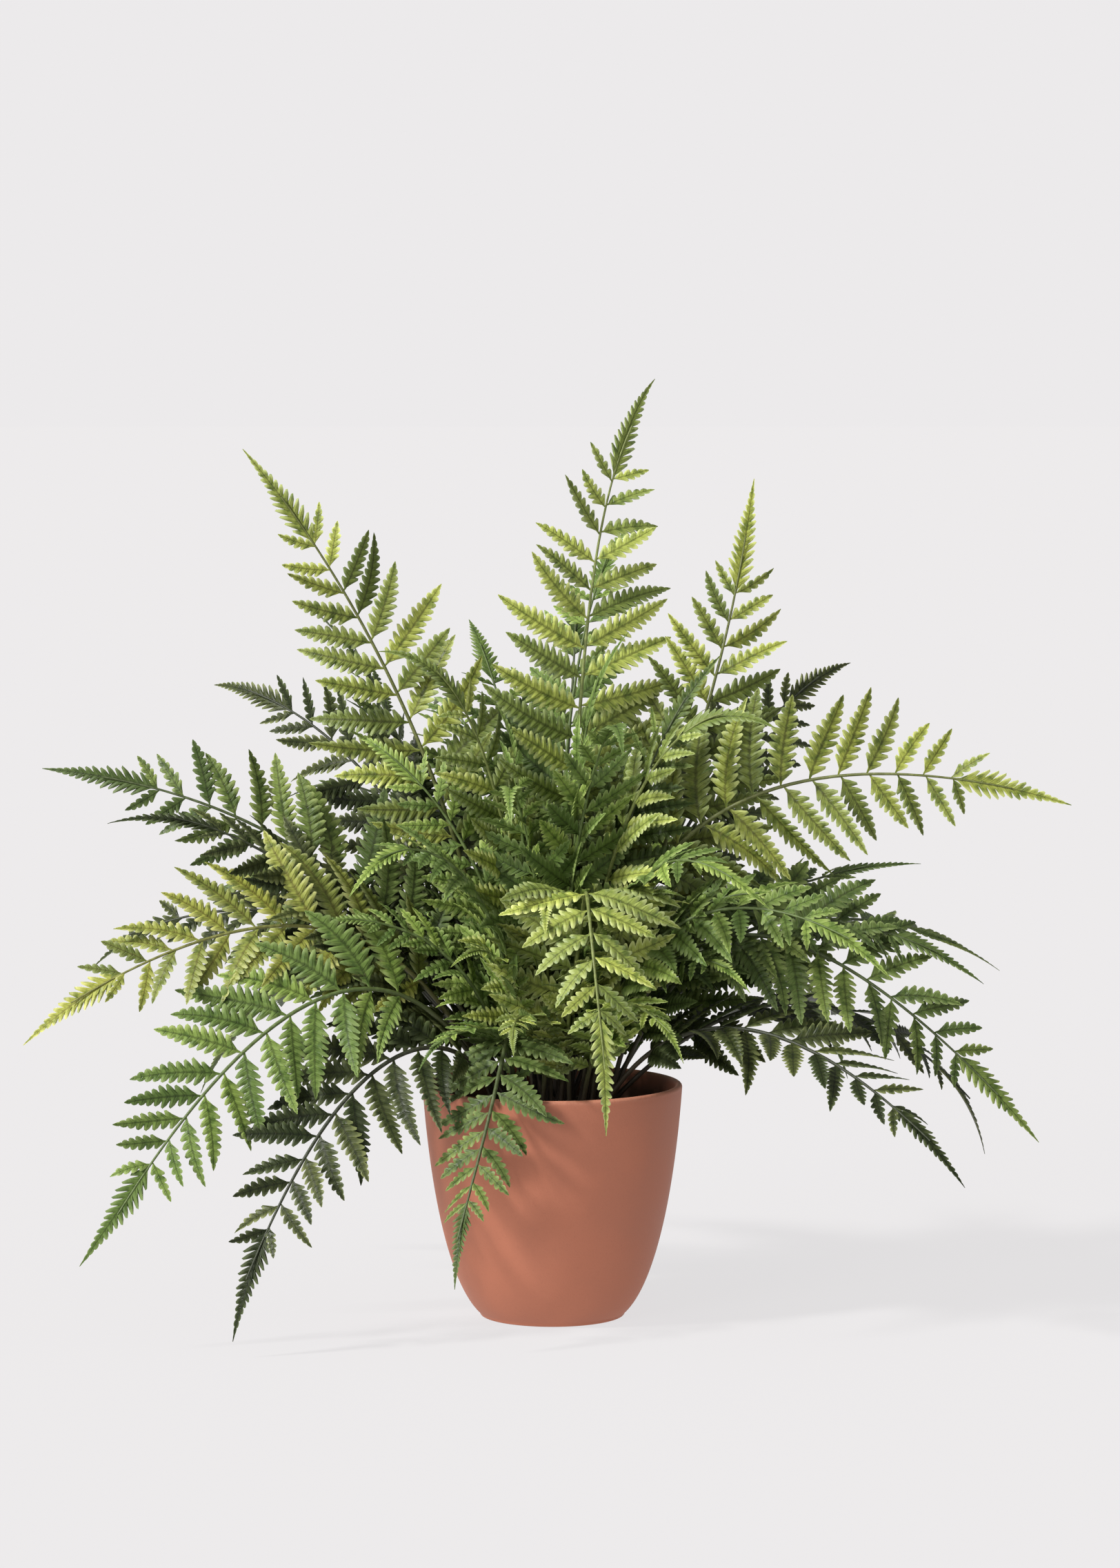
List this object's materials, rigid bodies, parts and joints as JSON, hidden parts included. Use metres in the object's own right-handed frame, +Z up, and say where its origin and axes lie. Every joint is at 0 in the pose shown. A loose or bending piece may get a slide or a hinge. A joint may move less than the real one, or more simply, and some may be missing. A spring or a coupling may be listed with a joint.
{
  "type": "potted fern",
  "caption": "Bushy fern with arching, toothed fronds that grow from a crown in soil, in a tapered round terracotta pot.",
  "frame": {"origin": "middle of the pot's flat foot, on the surface it stands on", "axes": "+Z up the pot's axis, +X to the plant's widest right-hand fronds, -Y to the front"},
  "size_m": [0.5929, 0.4206, 0.54],
  "materials": {
    "terracotta": "matte unglazed terracotta",
    "soil": "dark crumbly potting soil",
    "rootstock": "scaly brown rootstock",
    "outer_fronds": "satin dark green leaf",
    "middle_fronds": "satin mid green leaf",
    "young_fronds": "satin fresh green leaf",
    "inner_fronds": "satin light green leaf"
  },
  "bodies": {
    "root": {"pot": "terracotta", "potting_soil": "soil", "crown": "rootstock", "outer_frond_01": "outer_fronds", "outer_frond_02": "outer_fronds", "outer_frond_03": "outer_fronds", "outer_frond_04": "outer_fronds", "outer_frond_05": "outer_fronds", "outer_frond_06": "outer_fronds", "outer_frond_07": "outer_fronds", "outer_frond_08": "outer_fronds", "outer_frond_09": "outer_fronds", "outer_frond_10": "outer_fronds", "outer_frond_11": "outer_fronds", "outer_frond_12": "outer_fronds", "outer_frond_13": "outer_fronds", "outer_frond_14": "outer_fronds", "outer_frond_15": "outer_fronds", "outer_frond_16": "outer_fronds", "outer_frond_17": "outer_fronds", "middle_frond_01": "middle_fronds", "middle_frond_02": "middle_fronds", "middle_frond_03": "middle_fronds", "middle_frond_04": "middle_fronds", "middle_frond_05": "middle_fronds", "middle_frond_06": "middle_fronds", "middle_frond_07": "middle_fronds", "middle_frond_08": "middle_fronds", "middle_frond_09": "middle_fronds", "middle_frond_10": "middle_fronds", "middle_frond_11": "middle_fronds", "middle_frond_12": "middle_fronds", "middle_frond_13": "middle_fronds", "middle_frond_14": "middle_fronds", "middle_frond_15": "middle_fronds", "young_frond_01": "young_fronds", "young_frond_02": "young_fronds", "young_frond_03": "young_fronds", "young_frond_04": "young_fronds", "young_frond_05": "young_fronds", "young_frond_06": "young_fronds", "young_frond_07": "young_fronds", "young_frond_08": "young_fronds", "young_frond_09": "young_fronds", "young_frond_10": "young_fronds", "young_frond_11": "young_fronds", "inner_frond_01": "inner_fronds", "inner_frond_02": "inner_fronds", "inner_frond_03": "inner_fronds", "inner_frond_04": "inner_fronds", "inner_frond_05": "inner_fronds", "inner_frond_06": "inner_fronds", "inner_frond_07": "inner_fronds", "inner_frond_08": "inner_fronds", "inner_frond_09": "inner_fronds", "inner_frond_10": "inner_fronds", "inner_frond_11": "inner_fronds", "inner_frond_12": "inner_fronds", "inner_frond_13": "inner_fronds", "inner_frond_14": "inner_fronds"}
  },
  "joints": []
}
